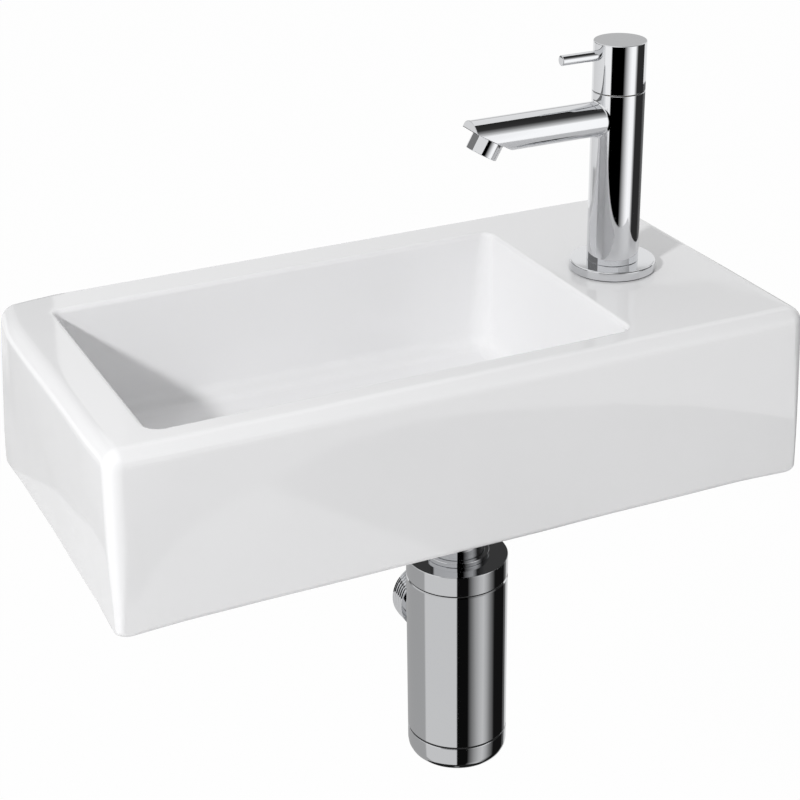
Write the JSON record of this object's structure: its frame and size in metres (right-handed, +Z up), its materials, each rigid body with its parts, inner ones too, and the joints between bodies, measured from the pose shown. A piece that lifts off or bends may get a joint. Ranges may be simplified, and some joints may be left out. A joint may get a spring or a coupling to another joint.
{
  "type": "hand basin",
  "caption": "Small wall-hung rectangular hand basin with a tap deck at one side, a lever tap, a grid waste and a chromed bottle trap.",
  "frame": {"origin": "midway between the two wall fixing holes, on the ceramic's back face", "axes": "+X right along the wall as seen from the room, +Y into the wall, +Z up"},
  "size_m": [0.4, 0.215, 0.4393],
  "materials": {
    "vitreous_china": "gloss white glaze",
    "chromed_brass": "mirror",
    "bare_brass": "machined",
    "black_rubber": "matt",
    "stainless_steel": "satin",
    "alumina": "lapped",
    "white_plastic": "moulded"
  },
  "bodies": {
    "basin_unit": {"basin": "vitreous_china", "tap_body": "chromed_brass", "tap_spout": "chromed_brass", "tap_base_flange": "chromed_brass", "aerator_housing": "chromed_brass", "waste_body": "chromed_brass", "waste_grid": "chromed_brass", "trap_inlet_nut": "chromed_brass", "trap_inlet_pipe": "chromed_brass", "tap_shank": "bare_brass", "tap_backnut": "bare_brass", "cartridge_body": "bare_brass", "waste_backnut": "bare_brass", "tap_base_gasket": "black_rubber", "tap_rubber_washer": "black_rubber", "cartridge_seal": "black_rubber", "aerator_gasket": "black_rubber", "waste_upper_seal": "black_rubber", "waste_lower_washer": "black_rubber", "trap_inlet_gasket": "black_rubber", "tap_steel_washer": "stainless_steel", "waste_screw": "stainless_steel", "cartridge_fixed_disc": "alumina", "aerator_insert": "white_plastic"},
    "handle": {"handle_cap": "chromed_brass", "handle_lever": "chromed_brass", "handle_grub_screw": "stainless_steel", "cartridge_spindle": "bare_brass", "cartridge_turning_disc": "alumina", "spindle_o_ring": "black_rubber", "spindle_clip": "stainless_steel"},
    "trap_collar": {"trap_collar_nut": "chromed_brass", "trap_pipe_seal": "black_rubber"},
    "trap": {"trap_head": "chromed_brass", "trap_head_seal": "black_rubber", "trap_body": "chromed_brass", "trap_outlet_stub": "chromed_brass"},
    "cup_seal": {"trap_cup_seal": "black_rubber"},
    "cup": {"trap_cup": "chromed_brass"}
  },
  "joints": [
    {"name": "handle_turn", "type": "hinge", "parent": "basin_unit", "child": "handle", "pos_m": [0.136, -0.113, 0.1455], "axis": [0, 0, 1], "range_deg": [0, 90]},
    {"name": "trap_height", "type": "slide", "parent": "basin_unit", "child": "trap_collar", "axis": [0, 0, 1], "range_m": [-0.03, 0.01]},
    {"name": "trap_swivel", "type": "hinge", "parent": "trap_collar", "child": "trap", "pos_m": [0.039, -0.1075, -0.127], "axis": [0, 0, 1], "continuous": true},
    {"name": "cup_drop", "type": "slide", "parent": "trap", "child": "cup_seal", "axis": [0, 0, -1], "range_m": [0, 0.0115]},
    {"name": "cup_unscrew", "type": "hinge", "parent": "cup_seal", "child": "cup", "pos_m": [0.039, -0.1075, -0.2477], "axis": [0, 0, -1], "range_deg": [0, 1800]}
  ],
  "couplings": [
    {"joint": "cup_drop", "follows": "cup_unscrew", "m_per_rad": 0.00036606}
  ]
}
